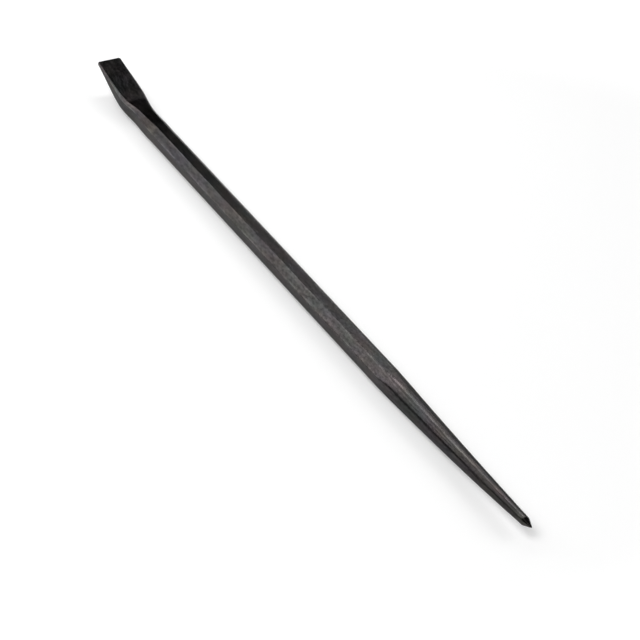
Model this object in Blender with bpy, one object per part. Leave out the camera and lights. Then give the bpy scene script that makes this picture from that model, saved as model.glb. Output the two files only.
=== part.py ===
"""Alignment bar: one forged piece of octagonal bar stock, lying on one of its flats.

+X runs along the stock from the round point to the chisel end, +Z is up, and the XZ plane is the plane of
symmetry. The origin is under the middle of the bar's length, on the surface that the bar lies on.
"""
import math

import bmesh
import bpy
from mathutils import Vector

# Bar stock, whose rounded corners take at most the corner share of a narrow face
OVERALL_LENGTH = 0.762
ACROSS_FLATS = 0.01905
EDGE_RADIUS = 0.0010
CORNER_SHARE = 0.3

# Round point end: a blunt cone, then a crowned taper that dies out on the eight flats
POINT_LENGTH = 0.225
CONE_LENGTH = 0.0095
SHOULDER_DIAMETER = 0.0071
APEX_RADIUS = 0.0006
TAPER_CROWN = 0.0003
CROWN_SKEW = 2
POINT_LIFT = 0.0050
SWEEP_POWER = 2.4

# Chisel end, whose shares of its length are measured back from the chisel edge
CHISEL_LENGTH = 0.115
THROAT_SHARE = 0.69
THROAT_DEPTH = 0.0008
NECK_PINCH = 0.0015
HEEL_SHARE = 0.42
HEEL_FLARE = 0.0041
TIP_FLARE = 0.0023
TIP_THICKNESS = 0.0027
TIP_BEVEL = 0.0008
TIP_CORNER_RADIUS = 0.0012
TIP_LIFT = 0.0101
TOP_BEND_SHARE = 0.555
TOP_ROUNDNESS = 0.305
UNDER_BEND_SHARE = 0.85
UNDER_ROUNDNESS = 0.89
BEVEL_POWER = 1.5

# How finely the curves are divided
CHISEL_STATIONS = 28
TIP_SEGMENTS = 4
CORNER_SEGMENTS = 2
ROUND_SEGMENTS = 64
TAPER_SEGMENTS = 10
APEX_SEGMENTS = 4
SHARP_ANGLE = math.radians(25)
MERGE_DISTANCE = 1e-6

# Surface of the steel
STEEL_COLOUR = (0.045, 0.043, 0.043, 1.0)
STEEL_ROUGHNESS = 0.42
STEEL_METALLIC = 0.85

# Values that follow from the sizes above
FLAT_WIDTH = ACROSS_FLATS * math.tan(math.pi / 8)
STOCK_BEVEL = (ACROSS_FLATS - FLAT_WIDTH) / 2
CORNER_REACH = ACROSS_FLATS / math.cos(math.pi / 8) / 2
AXIS_HEIGHT = ACROSS_FLATS / 2
HALF_LENGTH = OVERALL_LENGTH / 2
THROAT_DISTANCE = CHISEL_LENGTH * THROAT_SHARE
HEEL_DISTANCE = CHISEL_LENGTH * HEEL_SHARE
TOP_BEND_DISTANCE = CHISEL_LENGTH * TOP_BEND_SHARE
TOP_BEND_RISE = TIP_LIFT + THROAT_DEPTH
UNDER_BEND_DISTANCE = CHISEL_LENGTH * UNDER_BEND_SHARE
UNDER_BEND_RISE = ACROSS_FLATS + TIP_LIFT - TIP_THICKNESS - THROAT_DEPTH
CROWN_PEAK = CROWN_SKEW**CROWN_SKEW / (CROWN_SKEW + 1) ** (CROWN_SKEW + 1)
CLEARANCE = ACROSS_FLATS / 4
ENVELOPE_RADIUS = ACROSS_FLATS * 4


def blend(start, end, share):
    return start + (end - start) * share


def ease(share):
    """Smooth step from 0 to 1, level at both ends."""
    share = min(max(share, 0.0), 1.0)
    return share * share * (3.0 - 2.0 * share)


def bend_height(travel, run, rise, roundness):
    """Height gained after this travel along a bend that starts level and ends at (run, rise).

    The bend is an arc and then a straight line at a tangent. At roundness 1 the arc goes all the way, and at less
    its radius is that share of the full arc's.
    """
    if travel <= 0.0:
        return 0.0
    radius = roundness * (run * run + rise * rise) / (2 * rise)
    angle = math.atan2(rise - radius, run) + math.asin(radius / math.hypot(run, rise - radius))
    arc_run = radius * math.sin(angle)
    if travel <= arc_run:
        return radius - math.sqrt(radius * radius - travel * travel)
    return radius * (1.0 - math.cos(angle)) + (travel - arc_run) * math.tan(angle)


def throat_share(distance):
    """How far the stock has been worked down, from 0 where the chisel end begins to 1 at the throat."""
    return ease((CHISEL_LENGTH - distance) / (CHISEL_LENGTH - THROAT_DISTANCE))


def top_height(distance):
    """Height of the top face: the stock's flat, a shallow throat, then the upward bend of the blade."""
    travel = TOP_BEND_DISTANCE - distance
    rise = bend_height(travel, TOP_BEND_DISTANCE, TOP_BEND_RISE, TOP_ROUNDNESS)
    return ACROSS_FLATS - THROAT_DEPTH * throat_share(distance) + rise


def under_height(distance):
    """Height of the underside, which bends more steeply than the top, so the blade thins to its edge."""
    travel = UNDER_BEND_DISTANCE - distance
    rise = bend_height(travel, UNDER_BEND_DISTANCE, UNDER_BEND_RISE, UNDER_ROUNDNESS)
    return THROAT_DEPTH * throat_share(distance) + rise


def overall_width(distance):
    """Width of the stock with a slight neck, then a wider heel, then a blade that narrows to its edge."""
    if distance < HEEL_DISTANCE:
        return ACROSS_FLATS + blend(TIP_FLARE, HEEL_FLARE, ease(distance / HEEL_DISTANCE))
    heel_share = ease((THROAT_DISTANCE - distance) / (THROAT_DISTANCE - HEEL_DISTANCE))
    neck = -NECK_PINCH * throat_share(distance)
    return ACROSS_FLATS + blend(neck, HEEL_FLARE, heel_share)


def tip_rounding(distance):
    """How far the two rounded corners of the chisel edge lie inside the blade's sides here."""
    short = max(TIP_CORNER_RADIUS - distance, 0.0)
    return TIP_CORNER_RADIUS - math.sqrt(TIP_CORNER_RADIUS**2 - short**2)


def section_corners(distance):
    """The eight corners (y, z) of the section at this distance from the chisel edge."""
    share = min(distance / CHISEL_LENGTH, 1.0)
    bevel = blend(TIP_BEVEL, STOCK_BEVEL, share**BEVEL_POWER)
    reach = overall_width(distance) / 2 - tip_rounding(distance)
    top = top_height(distance)
    under = under_height(distance)
    left = [
        (reach - bevel, under),
        (reach, under + bevel),
        (reach, top - bevel),
        (reach - bevel, top),
    ]
    right = [(-y, z) for y, z in reversed(left)]
    return [Vector(point) for point in left + right]


def rounded(corners, radius):
    """The same closed outline with each corner replaced by a short curve of about this radius."""
    outline = []
    for index, corner in enumerate(corners):
        before = corners[index - 1] - corner
        after = corners[(index + 1) % len(corners)] - corner
        half_turn = (math.pi - before.angle(after)) / 2
        shorter = min(before.length, after.length)
        cut = min(radius * math.tan(half_turn), shorter * CORNER_SHARE)
        start = corner + before.normalized() * cut
        end = corner + after.normalized() * cut
        for step in range(CORNER_SEGMENTS + 1):
            t = step / CORNER_SEGMENTS
            outline.append(start * (1 - t) ** 2 + corner * 2 * t * (1 - t) + end * t * t)
    return outline


def add_ring(bm, distance):
    """A closed loop of edges around the section at this distance from the chisel edge."""
    outline = rounded(section_corners(distance), EDGE_RADIUS)
    verts = [bm.verts.new((HALF_LENGTH - distance, point.x, point.y)) for point in outline]
    return [bm.edges.new((verts[i - 1], verts[i])) for i in range(len(verts))]


def forged_blank():
    """The stock with its chisel end, still full size at the other end and a little too long there."""
    bm = bmesh.new()
    turns = [math.pi / 2 * i / TIP_SEGMENTS for i in range(TIP_SEGMENTS)]
    distances = [TIP_CORNER_RADIUS * (1 - math.cos(turn)) for turn in turns]
    shares = [i / CHISEL_STATIONS for i in range(CHISEL_STATIONS + 1)]
    distances += [blend(TIP_CORNER_RADIUS, CHISEL_LENGTH, share) for share in shares]
    distances.append(OVERALL_LENGTH + CLEARANCE)
    rings = [add_ring(bm, distance) for distance in distances]
    for ring, next_ring in zip(rings, rings[1:]):
        bmesh.ops.bridge_loops(bm, edges=ring + next_ring)
    for end_ring in (rings[0], rings[-1]):
        bmesh.ops.contextual_create(bm, geom=end_ring)
    return finish_object(bm, "forged_bar")


def envelope_profile():
    """Outline (distance from the apex, radius) of the turned envelope, which opens out clear of the stock.

    The apex is an arc tangent to the cone. The taper bulges by the crown where it is fullest, which the skew
    puts towards the cone.
    """
    shoulder = SHOULDER_DIAMETER / 2
    cone_slope = math.atan2(shoulder - APEX_RADIUS, CONE_LENGTH)
    profile = []
    for step in range(APEX_SEGMENTS + 1):
        angle = (math.pi / 2 - cone_slope) * step / APEX_SEGMENTS
        profile.append((APEX_RADIUS * (1 - math.cos(angle)), APEX_RADIUS * math.sin(angle)))
    for step in range(TAPER_SEGMENTS + 1):
        t = step / TAPER_SEGMENTS
        crown = TAPER_CROWN * t * (1 - t) ** CROWN_SKEW / CROWN_PEAK
        profile.append((blend(CONE_LENGTH, POINT_LENGTH, t), blend(shoulder, CORNER_REACH, t) + crown))
    profile.append((POINT_LENGTH + CLEARANCE, CORNER_REACH + CLEARANCE))
    profile.append((POINT_LENGTH + CLEARANCE, ENVELOPE_RADIUS))
    profile.append((OVERALL_LENGTH + CLEARANCE, ENVELOPE_RADIUS))
    profile.append((OVERALL_LENGTH + CLEARANCE, 0.0))
    return profile


def point_envelope():
    """A turned solid that leaves only the round point of whatever it is intersected with.

    Its axis sweeps gently upwards, so that the point's apex stands above the axis of the stock.
    """
    bm = bmesh.new()
    verts = [bm.verts.new((x, 0.0, AXIS_HEIGHT + radius)) for x, radius in envelope_profile()]
    edges = [bm.edges.new(pair) for pair in zip(verts, verts[1:])]
    bmesh.ops.spin(
        bm,
        geom=verts + edges,
        cent=(0.0, 0.0, AXIS_HEIGHT),
        axis=(1.0, 0.0, 0.0),
        angle=2 * math.pi,
        steps=ROUND_SEGMENTS,
        use_merge=True,
    )
    bmesh.ops.remove_doubles(bm, verts=bm.verts, dist=MERGE_DISTANCE)
    for vert in bm.verts:
        share = max(1.0 - vert.co.x / POINT_LENGTH, 0.0)
        vert.co.z += POINT_LIFT * share**SWEEP_POWER
        vert.co.x -= HALF_LENGTH
    return finish_object(bm, "point_envelope")


def finish_object(bm, name):
    """Turn the faces outwards, shade the mesh smooth between its sharp edges, and put it in the scene."""
    bmesh.ops.recalc_face_normals(bm, faces=bm.faces)
    mesh = bpy.data.meshes.new(name)
    bm.to_mesh(mesh)
    bm.free()
    mesh.shade_smooth()
    mesh.set_sharp_from_angle(angle=SHARP_ANGLE)
    obj = bpy.data.objects.new(name, mesh)
    bpy.context.scene.collection.objects.link(obj)
    return obj


def black_steel():
    material = bpy.data.materials.new("black_steel")
    material.use_nodes = True
    shader = material.node_tree.nodes["Principled BSDF"]
    shader.inputs["Base Color"].default_value = STEEL_COLOUR
    shader.inputs["Roughness"].default_value = STEEL_ROUGHNESS
    shader.inputs["Metallic"].default_value = STEEL_METALLIC
    return material


def build():
    for old in list(bpy.data.objects):
        bpy.data.objects.remove(old, do_unlink=True)
    bar = forged_blank()
    bar.data.materials.append(black_steel())
    envelope = point_envelope()
    envelope.hide_render = True
    envelope.display_type = "WIRE"
    round_point = bar.modifiers.new("round_point", "BOOLEAN")
    round_point.operation = "INTERSECT"
    round_point.solver = "EXACT"
    round_point.object = envelope


build()
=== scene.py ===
"""Looks of the alignment bar: the forged bar with its surface, on a pale floor in soft studio light."""

import math

import bpy
import numpy as np
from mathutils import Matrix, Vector, noise


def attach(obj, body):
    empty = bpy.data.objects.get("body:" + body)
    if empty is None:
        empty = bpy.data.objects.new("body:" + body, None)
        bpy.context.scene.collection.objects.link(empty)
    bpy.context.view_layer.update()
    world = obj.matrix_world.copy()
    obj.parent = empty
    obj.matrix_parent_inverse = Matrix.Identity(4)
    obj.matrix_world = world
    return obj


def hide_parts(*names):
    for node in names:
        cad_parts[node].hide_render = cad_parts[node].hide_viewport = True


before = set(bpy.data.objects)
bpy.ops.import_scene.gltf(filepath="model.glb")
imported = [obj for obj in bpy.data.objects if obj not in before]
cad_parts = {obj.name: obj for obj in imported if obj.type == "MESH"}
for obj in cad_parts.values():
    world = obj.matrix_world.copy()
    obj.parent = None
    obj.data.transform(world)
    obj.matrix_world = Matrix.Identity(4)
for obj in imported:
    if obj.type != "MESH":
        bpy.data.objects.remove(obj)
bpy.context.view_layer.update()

# Sizes of the bar, the same as the CAD model's, in metres. CORNER_SHARE is the most of a flat that the
# rounding of one corner takes; the other shares are of the chisel end's length.
OVERALL_LENGTH = 0.762
ACROSS_FLATS = 0.01905
EDGE_RADIUS = 0.0010
CORNER_SHARE = 0.3
POINT_LENGTH = 0.225
CONE_LENGTH = 0.0095
SHOULDER_DIAMETER = 0.0071
APEX_RADIUS = 0.0006
TAPER_CROWN = 0.0003
CROWN_SKEW = 2
POINT_LIFT = 0.0050
SWEEP_POWER = 2.4
CHISEL_LENGTH = 0.115
THROAT_SHARE = 0.69
THROAT_DEPTH = 0.0008
NECK_PINCH = 0.0015
HEEL_SHARE = 0.42
HEEL_FLARE = 0.0041
TIP_FLARE = 0.0023
TIP_THICKNESS = 0.0027
TIP_BEVEL = 0.0008
TIP_CORNER_RADIUS = 0.0012
TIP_LIFT = 0.0101
TOP_BEND_SHARE = 0.555
TOP_ROUNDNESS = 0.305
UNDER_BEND_SHARE = 0.85
UNDER_ROUNDNESS = 0.89
BEVEL_POWER = 1.5

# Values that follow from them
FLAT_WIDTH = ACROSS_FLATS * math.tan(math.pi / 8)
STOCK_BEVEL = (ACROSS_FLATS - FLAT_WIDTH) / 2
CORNER_REACH = ACROSS_FLATS / math.cos(math.pi / 8) / 2
AXIS_HEIGHT = ACROSS_FLATS / 2
HALF_LENGTH = OVERALL_LENGTH / 2
TAPER_START = OVERALL_LENGTH - POINT_LENGTH
SHOULDER_DISTANCE = OVERALL_LENGTH - CONE_LENGTH
THROAT_DISTANCE = CHISEL_LENGTH * THROAT_SHARE
HEEL_DISTANCE = CHISEL_LENGTH * HEEL_SHARE
TOP_BEND_DISTANCE = CHISEL_LENGTH * TOP_BEND_SHARE
TOP_BEND_RISE = TIP_LIFT + THROAT_DEPTH
UNDER_BEND_DISTANCE = CHISEL_LENGTH * UNDER_BEND_SHARE
UNDER_BEND_RISE = ACROSS_FLATS + TIP_LIFT - TIP_THICKNESS - THROAT_DEPTH
CROWN_PEAK = CROWN_SKEW**CROWN_SKEW / (CROWN_SKEW + 1) ** (CROWN_SKEW + 1)

# How finely the skin is divided: steps around a ring, then metres along the bar
CORNER_STEPS = 6
FLAT_STEPS = 10
CHISEL_STEP = 0.0010
SHAFT_STEP = 0.0030
TAPER_STEP = 0.0015
CONE_STEP = 0.0007
APEX_STEPS = 6
TIP_STEPS = 5
SHOULDER_BREAK = 0.0002

# What forging and handling leave: an eased blade end and shallow unevenness, only ever inwards.
# Waves are everywhere, dents mostly on the forged ends, and lengthwise facets only on the taper. No point
# moves in by more than DEEPEST_SHARE of its way to the axis.
END_EASE = 0.0003
SKIN_INSET = 0.00002
WAVE_DEPTH = 0.00007
WAVE_SIZE = (0.045, 0.012, 0.012)
DENT_DEPTH = 0.00006
DENT_SIZE = (0.014, 0.006, 0.006)
SHAFT_DENTS = 0.25
FACET_DEPTH = 0.00005
FACET_SIZE = (0.032, 0.0034, 0.0034)
TAPER_FADE = POINT_LENGTH / 5
UNEVEN_GAIN = 1.6
DEEPEST_SHARE = 0.25

# Edges lighter in colour, partly as worn scale and partly as a painted highlight where a rounded edge catches
# light: how far this reaches from an edge, and how much of it the blade's edges have
WEAR_AND_HIGHLIGHT_WIDTH = 0.0009
BLADE_WEAR_AND_HIGHLIGHT = 0.15

# Pattern of the steel's surface: size along and across the bar, then detail
TINT_PATTERN = (0.030, 0.012, 1.0)
MOTTLE_PATTERN = (0.016, 0.0050, 4.0)
STREAK_PATTERN = (0.034, 0.0019, 2.0)
SPECKLE_PATTERN = (0.0040, 0.0016, 1.5)
GRAIN_PATTERN = (0.0060, 0.00035, 2.0)
PATTERN_ROUGHNESS = 0.55
PATTERN_MIDDLE = (0.5, 0.5, 0.5)

# Span of a pattern's values that counts, from its low level to its high one, and how strong the lighter edge
# (worn scale and painted highlight) is at the two ends of its span
MAIN_SPAN = (0.3, 0.7)
SPECKLE_SPAN = (0.34, 0.60)
BARE_AND_HIGHLIGHT_SPAN = (0.35, 0.6)
BARE_AND_HIGHLIGHT_AMOUNTS = (0.2, 1.0)

# Steel's linear colour, how far its hue strays, and the levels between which each pattern takes it
STEEL_COLOUR = (0.058, 0.0543, 0.0538)
TINT_SPREAD = (0.42, 0.16, 0.40)
MOTTLE_LEVELS = (0.90, 1.10)
STREAK_LEVELS = (0.76, 1.24)
SPECKLE_LEVELS = (0.64, 1.12)
# The edges' lift in colour is partly worn scale and partly a painted highlight where a rounded edge catches
# light
BARE_AND_HIGHLIGHT_LEVELS = (1.0, 1.45)
# The taper's colour is scaled from the shaft's 1.0 down to 0.69
TAPER_COLOUR_LEVELS = (1.0, 0.69)

# Gloss: roughness, its changes, and the edge tint, which fades as the surface turns away
MOTTLE_ROUGHNESS = (0.19, 0.26)
SPECKLE_ROUGHNESS = (-0.02, 0.02)
BARE_SMOOTHNESS = 0.05
GLANCE = (0.68, 0.86)
EDGE_TINTS = (0.615, 0.0)

# Relief, in metres: the streaks' on the shaft and on the taper, then the others'
STREAK_RELIEF = (0.000024, 0.000050)
GRAIN_RELIEF = 0.000003
SPECKLE_RELIEF = 0.000045
MOTTLE_RELIEF = 0.000035

# Photograph's view
FOCAL_LENGTH = 179.58
SENSOR_WIDTH = 36.0
CAMERA_PLACE = (-1.94352, 0.90977, 1.275756)
CAMERA_DROP = math.radians(31.2637)
CAMERA_HEADING = math.radians(-25.5901)
CAMERA_REACH = 200.0

# Studio: a wide pale floor whose white grows with the distance, a white band at the horizon under a dark
# dome, and soft lamps that face one place on the bar
FLOOR_HALF = 40.0
FLOOR_COLOUR = (0.8, 0.8, 0.8, 1.0)
FLOOR_GLOWS = (0.27, 1.0)
GLOW_REACH = (0.42, 1.2)
HORIZON_BAND = (math.sin(math.radians(5.0)), math.sin(math.radians(9.0)))
HORIZON_LEVELS = (1.0, 0.0)
LAMP_TARGET = (0.05, 0.0, 0.0)


def blend(start, end, share):
    """The value at this share of the way from start to end."""
    return start + (end - start) * share


def ease(share):
    """Smooth step from 0 to 1, level at both ends."""
    share = min(max(share, 0.0), 1.0)
    return share * share * (3.0 - 2.0 * share)


# Form of the chisel end, as in the CAD model
def bend_height(travel, run, rise, roundness):
    """Height, after this travel, of a bend that leaves level on an arc and goes straight on to its rise."""
    if travel <= 0.0:
        return 0.0
    radius = roundness * (run * run + rise * rise) / (2 * rise)
    angle = math.atan2(rise - radius, run) + math.asin(radius / math.hypot(run, rise - radius))
    arc_run = radius * math.sin(angle)
    if travel <= arc_run:
        return radius - math.sqrt(radius * radius - travel * travel)
    return radius * (1.0 - math.cos(angle)) + (travel - arc_run) * math.tan(angle)


def throat_share(distance):
    """0 where the shaft ends, 1 from the throat to the chisel edge."""
    return ease((CHISEL_LENGTH - distance) / (CHISEL_LENGTH - THROAT_DISTANCE))


def top_height(distance):
    """Height of the top flat at this distance from the chisel edge."""
    travel = TOP_BEND_DISTANCE - distance
    rise = bend_height(travel, TOP_BEND_DISTANCE, TOP_BEND_RISE, TOP_ROUNDNESS)
    return ACROSS_FLATS - THROAT_DEPTH * throat_share(distance) + rise


def under_height(distance):
    """Height of the underside at this distance from the chisel edge."""
    travel = UNDER_BEND_DISTANCE - distance
    rise = bend_height(travel, UNDER_BEND_DISTANCE, UNDER_BEND_RISE, UNDER_ROUNDNESS)
    return THROAT_DEPTH * throat_share(distance) + rise


def overall_width(distance):
    """Width at this distance from the chisel edge, over the blade, the heel, the neck and the shaft."""
    if distance < HEEL_DISTANCE:
        return ACROSS_FLATS + blend(TIP_FLARE, HEEL_FLARE, ease(distance / HEEL_DISTANCE))
    heel_share = ease((THROAT_DISTANCE - distance) / (THROAT_DISTANCE - HEEL_DISTANCE))
    return ACROSS_FLATS + blend(-NECK_PINCH * throat_share(distance), HEEL_FLARE, heel_share)


def rounding(distance, radius):
    """How far an end that is rounded with this radius lies inside its full size at this distance from it."""
    return radius - math.sqrt(radius**2 - max(radius - distance, 0.0) ** 2)


def section_corners(distance):
    """The section's eight corners (y, z) this far from the chisel edge, just inside the CAD model's."""
    share = min(distance / CHISEL_LENGTH, 1.0)
    inset = SKIN_INSET + rounding(distance, END_EASE)
    bevel = blend(TIP_BEVEL, STOCK_BEVEL, share**BEVEL_POWER) - inset * (2 - math.sqrt(2))
    reach = overall_width(distance) / 2 - rounding(distance, TIP_CORNER_RADIUS) - inset
    top = top_height(distance) - inset
    under = under_height(distance) + inset
    left = [(reach - bevel, under), (reach, under + bevel), (reach, top - bevel), (reach - bevel, top)]
    return np.array(left + [(-y, z) for y, z in reversed(left)])


def outline(corners, radius):
    """The section's outline, and how near each of its points is to a corner: 1 on a corner, 0 away from it.

    Each corner is rounded in CORNER_STEPS steps and each flat has FLAT_STEPS steps, closest at its two ends.
    """
    count = len(corners)
    starts = []
    ends = []
    for i in range(count):
        before = corners[i - 1] - corners[i]
        after = corners[(i + 1) % count] - corners[i]
        lengths = np.hypot(*before), np.hypot(*after)
        half_turn = (math.pi - math.acos(np.clip(before @ after / lengths[0] / lengths[1], -1, 1))) / 2
        cut = min(radius * math.tan(half_turn), min(lengths) * CORNER_SHARE)
        starts.append(corners[i] + before / lengths[0] * cut)
        ends.append(corners[i] + after / lengths[1] * cut)
    points = []
    nearness = []
    for i in range(count):
        for step in range(CORNER_STEPS):
            t = step / CORNER_STEPS
            points.append(starts[i] * (1 - t) ** 2 + corners[i] * 2 * t * (1 - t) + ends[i] * t * t)
            nearness.append(1.0)
        flat_end = starts[(i + 1) % count]
        flat_length = np.hypot(*(flat_end - ends[i]))
        for step in range(FLAT_STEPS):
            t = (1 - math.cos(math.pi * step / FLAT_STEPS)) / 2
            points.append(blend(ends[i], flat_end, t))
            nearness.append(max(1.0 - min(t, 1 - t) * flat_length / WEAR_AND_HIGHLIGHT_WIDTH, 0.0))
    return np.array(points), np.array(nearness)


# Form of the round point, as in the CAD model
def envelope_radius(x):
    """Radius of the turned point at x metres from its apex."""
    shoulder = SHOULDER_DIAMETER / 2
    if x < CONE_LENGTH:
        slope = math.atan2(shoulder - APEX_RADIUS, CONE_LENGTH)
        tangent_x = APEX_RADIUS * (1 - math.sin(slope))
        if x < tangent_x:
            return math.sqrt(max(APEX_RADIUS**2 - (APEX_RADIUS - x) ** 2, 0.0))
        tangent_r = APEX_RADIUS * math.cos(slope)
        return blend(tangent_r, shoulder, (x - tangent_x) / (CONE_LENGTH - tangent_x))
    t = (x - CONE_LENGTH) / (POINT_LENGTH - CONE_LENGTH)
    return blend(shoulder, CORNER_REACH, t) + TAPER_CROWN * t * (1 - t) ** CROWN_SKEW / CROWN_PEAK


def spaced(start, end, step):
    """Evenly spaced distances from start to just before end, about a step apart."""
    return list(np.linspace(start, end, max(round((end - start) / step), 1), endpoint=False))


def stations():
    """Distances from the chisel edge at which the skin has a ring."""
    apex_start = OVERALL_LENGTH - APEX_RADIUS
    turns = [math.pi / 2 * step / TIP_STEPS for step in range(TIP_STEPS)]
    distances = [END_EASE * (1 - math.cos(turn)) for turn in turns]
    distances += [END_EASE + (TIP_CORNER_RADIUS - END_EASE) * (1 - math.cos(turn)) for turn in turns]
    distances += spaced(TIP_CORNER_RADIUS, CHISEL_LENGTH, CHISEL_STEP)
    distances += spaced(CHISEL_LENGTH, TAPER_START, SHAFT_STEP)
    distances += spaced(TAPER_START, SHOULDER_DISTANCE - SHOULDER_BREAK, TAPER_STEP)
    distances += [SHOULDER_DISTANCE - SHOULDER_BREAK, SHOULDER_DISTANCE]
    distances += spaced(SHOULDER_DISTANCE + SHOULDER_BREAK, apex_start, CONE_STEP)
    for step in range(APEX_STEPS):
        angle = math.pi / 2 * step / APEX_STEPS
        distances.append(apex_start + APEX_RADIUS * math.sin(angle))
    return distances


def ring_at(distance):
    """Points (y, z) around the bar here, how much edge wear and painted edge highlight each has, the
    section's centre height and its half sizes.
    """
    points, nearness = outline(section_corners(distance), EDGE_RADIUS)
    x = OVERALL_LENGTH - distance
    if x >= POINT_LENGTH:
        height = (top_height(distance) + under_height(distance)) / 2
        halves = (overall_width(distance) / 2, (top_height(distance) - under_height(distance)) / 2)
        return points, nearness, height, halves
    height = AXIS_HEIGHT + POINT_LIFT * (1.0 - x / POINT_LENGTH) ** SWEEP_POWER
    arms = points - (0.0, height)
    reaches = np.hypot(arms[:, 0], arms[:, 1])
    radius = envelope_radius(x) - SKIN_INSET
    shares = np.minimum(1.0, radius / reaches)
    nearness = np.where(shares < 1.0, 0.0, nearness)
    return arms * shares[:, None] + (0.0, height), nearness, height, (radius, radius)


def uneven(place, sizes, depth):
    """How far forging left the surface short here, from 0 to the depth."""
    at = Vector((place[0] / sizes[0], place[1] / sizes[1], place[2] / sizes[2]))
    return depth * (0.5 + 0.5 * max(min(noise.noise(at) * UNEVEN_GAIN, 1.0), -1.0))


def body_share(distance):
    """1 on the bar, falling to 0 on its last stretch before the cone."""
    return ease((SHOULDER_DISTANCE - distance) / CONE_LENGTH)


def taper_share(distance):
    """0 on the shaft, 1 along most of the taper and 0 again on the cone."""
    return ease((distance - TAPER_START) / TAPER_FADE) * body_share(distance)


def forged_amount(distance):
    """Share of hammered dents: full on the chisel end and the taper, less on the shaft, none on the cone."""
    chisel = 1.0 - ease((distance - THROAT_DISTANCE) / CHISEL_LENGTH)
    return blend(SHAFT_DENTS, 1.0, max(chisel, taper_share(distance))) * body_share(distance)


def bar_mesh():
    """The bar's skin as rings of points joined by faces.

    Its attributes are flow, the place along and around the bar that the surface's pattern follows, one for
    the edges' wear and painted highlight, and drawn, which is 1 on the taper.
    """
    rings = stations()
    verts = []
    flow = []
    wear_and_highlight = []
    drawn = []
    for distance in rings:
        points, nearness, height, halves = ring_at(distance)
        dents = forged_amount(distance)
        facets = taper_share(distance)
        # Edge wear and painted edge highlight: a small share on the blade, full from the neck on
        wear_and_highlight_share = blend(BLADE_WEAR_AND_HIGHLIGHT, 1.0, ease((distance - HEEL_DISTANCE) / (CHISEL_LENGTH - HEEL_DISTANCE)))
        for (y, z), near in zip(points, nearness):
            run = (distance, y / halves[0] * AXIS_HEIGHT, (z - height) / halves[1] * AXIS_HEIGHT)
            short = uneven(run, WAVE_SIZE, WAVE_DEPTH) + dents * uneven(run, DENT_SIZE, DENT_DEPTH)
            short += facets * uneven(run, FACET_SIZE, FACET_DEPTH)
            keep = 1.0 - short / max(math.hypot(y, z - height), short / DEEPEST_SHARE)
            verts.append((HALF_LENGTH - distance, y * keep, height + (z - height) * keep))
            flow.append(run)
            wear_and_highlight.append(near * wear_and_highlight_share)
            drawn.append(facets)
    size = len(verts) // len(rings)
    faces = []
    for ring in range(len(rings) - 1):
        for i in range(size):
            j = (i + 1) % size
            faces.append((ring * size + i, ring * size + j, (ring + 1) * size + j, (ring + 1) * size + i))
    faces.append(tuple(range(size))[::-1])
    faces.append(tuple(range(len(verts) - size, len(verts))))
    mesh = bpy.data.meshes.new("bar_skin")
    mesh.from_pydata(verts, [], faces)
    mesh.shade_smooth()
    mesh.attributes.new("flow", "FLOAT_VECTOR", "POINT").data.foreach_set("vector", np.ravel(flow))
    mesh.attributes.new("wear_and_highlight", "FLOAT", "POINT").data.foreach_set("value", wear_and_highlight)
    mesh.attributes.new("drawn", "FLOAT", "POINT").data.foreach_set("value", drawn)
    mesh.update()
    return mesh


class Nodes:
    """Short ways to add and join the nodes of one material."""

    def __init__(self, tree):
        self.tree = tree

    def add(self, kind, inputs=None, **settings):
        node = self.tree.nodes.new("ShaderNode" + kind)
        for name, value in settings.items():
            setattr(node, name, value)
        for key, value in (inputs or {}).items():
            self.set(node.inputs[key], value)
        return node

    def set(self, socket, value):
        """Give a socket a value, or the link that comes from another node's output."""
        if isinstance(value, bpy.types.NodeSocket):
            self.tree.links.new(value, socket)
        else:
            socket.default_value = value

    def math(self, operation, first, second):
        return self.add("Math", {0: first, 1: second}, operation=operation).outputs[0]

    def remap(self, value, source, target, **settings):
        """The value, moved from its place in one span to the same place in another."""
        inputs = {
            "Value": value,
            "From Min": source[0],
            "From Max": source[1],
            "To Min": target[0],
            "To Max": target[1],
        }
        return self.add("MapRange", inputs, **settings).outputs["Result"]

    def scaled(self, value, amount):
        return self.math("MULTIPLY", value, amount)

    def pattern(self, run, along, across, detail):
        """Noise stretched along the bar, with features of these sizes."""
        scale = (1 / along, 1 / across, 1 / across)
        stretched = self.add("VectorMath", {0: run, 1: scale}, operation="MULTIPLY").outputs[0]
        inputs = {"Vector": stretched, "Scale": 1.0, "Detail": detail, "Roughness": PATTERN_ROUGHNESS}
        return self.add("TexNoise", inputs).outputs


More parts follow.
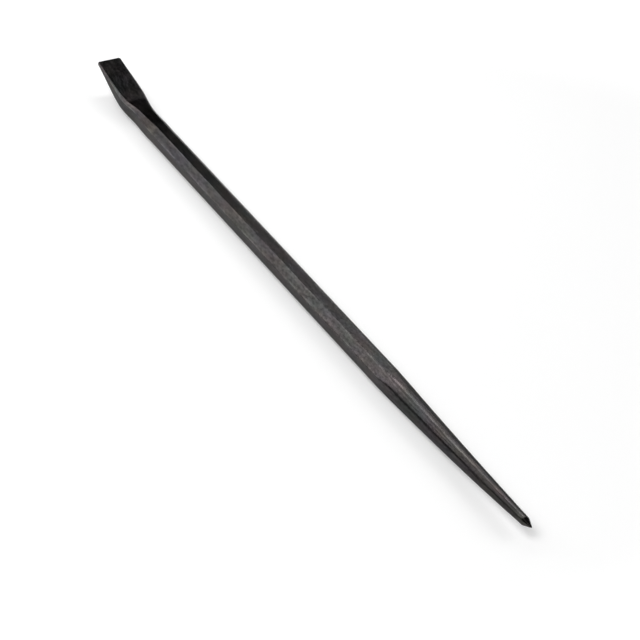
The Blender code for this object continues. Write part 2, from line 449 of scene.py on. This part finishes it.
def steel_material():
    """Black heat-treat scale over forged steel: mottled, streaked, speckled, with lighter edges that are
    partly rubbed scale and partly a painted highlight.
    """
    material = bpy.data.materials.new("black_steel_surface")
    material.use_nodes = True
    nodes = Nodes(material.node_tree)
    shader = material.node_tree.nodes["Principled BSDF"]
    run = nodes.add("Attribute", attribute_name="flow").outputs["Vector"]
    nearness = nodes.add("Attribute", attribute_name="wear_and_highlight").outputs["Fac"]
    drawn = nodes.add("Attribute", attribute_name="drawn").outputs["Fac"]
    tint = nodes.pattern(run, *TINT_PATTERN)["Color"]
    mottle = nodes.pattern(run, *MOTTLE_PATTERN)["Fac"]
    streak = nodes.pattern(run, *STREAK_PATTERN)["Fac"]
    speckle = nodes.pattern(run, *SPECKLE_PATTERN)["Fac"]
    grain = nodes.pattern(run, *GRAIN_PATTERN)["Fac"]

    # Lighter edges, partly where rubbing thinned the scale and partly a painted highlight, come and go along
    # the bar
    bare_and_highlight = nodes.scaled(nearness, nodes.remap(streak, BARE_AND_HIGHLIGHT_SPAN, BARE_AND_HIGHLIGHT_AMOUNTS))

    # Colour: the scale's hue strays a little from place to place, and its level follows the patterns
    shift = nodes.add("VectorMath", {0: tint, 1: PATTERN_MIDDLE}, operation="SUBTRACT").outputs[0]
    stray = {0: shift, 1: TINT_SPREAD, 2: (1.0, 1.0, 1.0)}
    stray = nodes.add("VectorMath", stray, operation="MULTIPLY_ADD").outputs[0]
    hue = nodes.add("VectorMath", {0: stray, 1: STEEL_COLOUR}, operation="MULTIPLY").outputs[0]
    level = nodes.remap(mottle, MAIN_SPAN, MOTTLE_LEVELS)
    level = nodes.scaled(level, nodes.remap(streak, MAIN_SPAN, STREAK_LEVELS))
    level = nodes.scaled(level, nodes.remap(speckle, SPECKLE_SPAN, SPECKLE_LEVELS))
    # Painted highlight and wear: the edges' colour is lifted
    level = nodes.scaled(level, nodes.remap(bare_and_highlight, (0.0, 1.0), BARE_AND_HIGHLIGHT_LEVELS))
    # The taper's colour is darker, scaled down to 0.69
    level = nodes.scaled(level, nodes.remap(drawn, (0.0, 1.0), TAPER_COLOUR_LEVELS))
    colour = nodes.add("VectorMath", {0: hue, "Scale": level}, operation="SCALE").outputs[0]
    nodes.set(shader.inputs["Base Color"], colour)

    # Gloss
    rough = nodes.remap(mottle, MAIN_SPAN, MOTTLE_ROUGHNESS)
    rough = nodes.math("ADD", rough, nodes.remap(speckle, MAIN_SPAN, SPECKLE_ROUGHNESS))
    rough = nodes.math("SUBTRACT", rough, nodes.scaled(bare_and_highlight, BARE_SMOOTHNESS))
    nodes.set(shader.inputs["Roughness"], rough)
    shader.inputs["Metallic"].default_value = 1.0

    # Scale is rough enough to lose the mirror that clean metal has at glancing angles
    facing = nodes.add("LayerWeight", {"Blend": 0.5}).outputs["Facing"]
    nodes.set(shader.inputs["Specular Tint"], nodes.remap(facing, GLANCE, EDGE_TINTS))

    # Relief
    height = nodes.scaled(streak, nodes.remap(drawn, (0.0, 1.0), STREAK_RELIEF))
    height = nodes.math("ADD", height, nodes.scaled(grain, GRAIN_RELIEF))
    height = nodes.math("ADD", height, nodes.scaled(speckle, SPECKLE_RELIEF))
    height = nodes.math("ADD", height, nodes.scaled(mottle, MOTTLE_RELIEF))
    bump = nodes.add("Bump", {"Strength": 1.0, "Distance": 1.0, "Height": height})
    nodes.set(shader.inputs["Normal"], bump.outputs["Normal"])
    return material


def floor_material():
    """A pale matt floor that the camera and the steel's reflections see as white around the bar's shadow."""
    material = bpy.data.materials.new("white_floor")
    material.use_nodes = True
    tree = material.node_tree
    tree.nodes.remove(tree.nodes["Principled BSDF"])
    nodes = Nodes(tree)
    path = nodes.add("LightPath").outputs
    seen = nodes.math("MAXIMUM", path["Is Camera Ray"], path["Is Glossy Ray"])
    seen = nodes.math("MAXIMUM", seen, path["Is Transmission Ray"])
    place = nodes.add("TexCoord").outputs["Object"]
    distance = nodes.add("VectorMath", {0: place}, operation="LENGTH").outputs["Value"]
    strength = nodes.scaled(seen, nodes.remap(distance, GLOW_REACH, FLOOR_GLOWS))
    matt = nodes.add("BsdfDiffuse", {"Color": FLOOR_COLOUR})
    glow = nodes.add("Emission", {"Strength": strength})
    both = nodes.add("AddShader", {0: matt.outputs[0], 1: glow.outputs[0]})
    nodes.set(tree.nodes["Material Output"].inputs["Surface"], both.outputs[0])
    return material


def make_floor():
    """The floor that the bar lies on, at height 0."""
    mesh = bpy.data.meshes.new("floor")
    half = FLOOR_HALF
    corners = [(-half, -half, 0), (half, -half, 0), (half, half, 0), (-half, half, 0)]
    mesh.from_pydata(corners, [], [(0, 1, 2, 3)])
    mesh.materials.append(floor_material())
    floor = bpy.data.objects.new("floor", mesh)
    bpy.context.scene.collection.objects.link(floor)


def make_world():
    """White at the horizon, so that low views have a white background, and dark above."""
    world = bpy.data.worlds.new("studio")
    bpy.context.scene.world = world
    world.use_nodes = True
    nodes = Nodes(world.node_tree)
    direction = nodes.add("TexCoord").outputs["Generated"]
    up = nodes.add("SeparateXYZ", {0: direction}).outputs["Z"]
    strength = nodes.remap(up, HORIZON_BAND, HORIZON_LEVELS, interpolation_type="SMOOTHSTEP")
    background = world.node_tree.nodes["Background"]
    background.inputs["Color"].default_value = (1.0, 1.0, 1.0, 1.0)
    nodes.set(background.inputs["Strength"], strength)


def make_lamp(name, azimuth, elevation, distance, width, depth, power):
    """A soft rectangular lamp that faces the bar from this direction, in degrees, and that no camera sees.

    Its distance and its size are in metres, and its power is in watts.
    """
    light = bpy.data.lights.new(name, "AREA")
    light.shape = "RECTANGLE"
    light.size = width
    light.size_y = depth
    light.energy = power
    lamp = bpy.data.objects.new(name, light)
    bpy.context.scene.collection.objects.link(lamp)
    across = math.cos(math.radians(elevation))
    away = Vector((
        across * math.cos(math.radians(azimuth)),
        across * math.sin(math.radians(azimuth)),
        math.sin(math.radians(elevation)),
    ))
    lamp.location = Vector(LAMP_TARGET) + away * distance
    lamp.rotation_euler = (-away).to_track_quat("-Z", "Y").to_euler()
    lamp.visible_camera = False


def make_camera():
    """The photograph's camera."""
    data = bpy.data.cameras.new("photo_camera")
    data.lens = FOCAL_LENGTH
    data.sensor_width = SENSOR_WIDTH
    data.clip_end = CAMERA_REACH
    camera = bpy.data.objects.new("photo_camera", data)
    bpy.context.scene.collection.objects.link(camera)
    camera.location = CAMERA_PLACE
    camera.rotation_euler = (math.pi / 2 - CAMERA_DROP, 0.0, CAMERA_HEADING - math.pi / 2)
    bpy.context.scene.camera = camera


bar = bpy.data.objects.new("bar_skin", bar_mesh())
bpy.context.scene.collection.objects.link(bar)
bar.data.materials.append(steel_material())
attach(bar, "root")
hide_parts("forged_bar")
make_floor()
make_world()
make_lamp("left_lamp", 130, 54, 2.0, 1.2, 1.2, 24.5)
make_lamp("right_lamp", -130, 36, 2.0, 1.2, 1.2, 11.5)
make_lamp("end_lamp", -50, 30, 2.0, 1.2, 1.2, 3.0)
make_lamp("back_lamp", 30, 28, 1.1, 0.34, 0.95, 1.74)
make_lamp("back_side_lamp", 48, 33, 1.1, 0.34, 0.55, 0.70)
make_lamp("heel_lamp", 41, 27, 3.0, 0.35, 0.35, 1.0)
make_lamp("front_lamp", -42, 30, 2.2, 0.25, 0.20, 0.60)
make_lamp("front_low_lamp", -28, 32, 2.2, 0.45, 0.32, 0.48)
make_lamp("front_high_lamp", -17, 54, 1.1, 0.30, 0.13, 1.25)
make_lamp("taper_lamp", 24, 45, 1.17, 0.36, 0.30, 0.70)
make_lamp("high_lamp", 3, 54, 1.1, 0.30, 0.28, 0.75)
make_lamp("blade_lamp", -40, 48, 1.1, 0.32, 0.28, 0.65)
make_camera()
bpy.context.scene.view_settings.view_transform = "Standard"
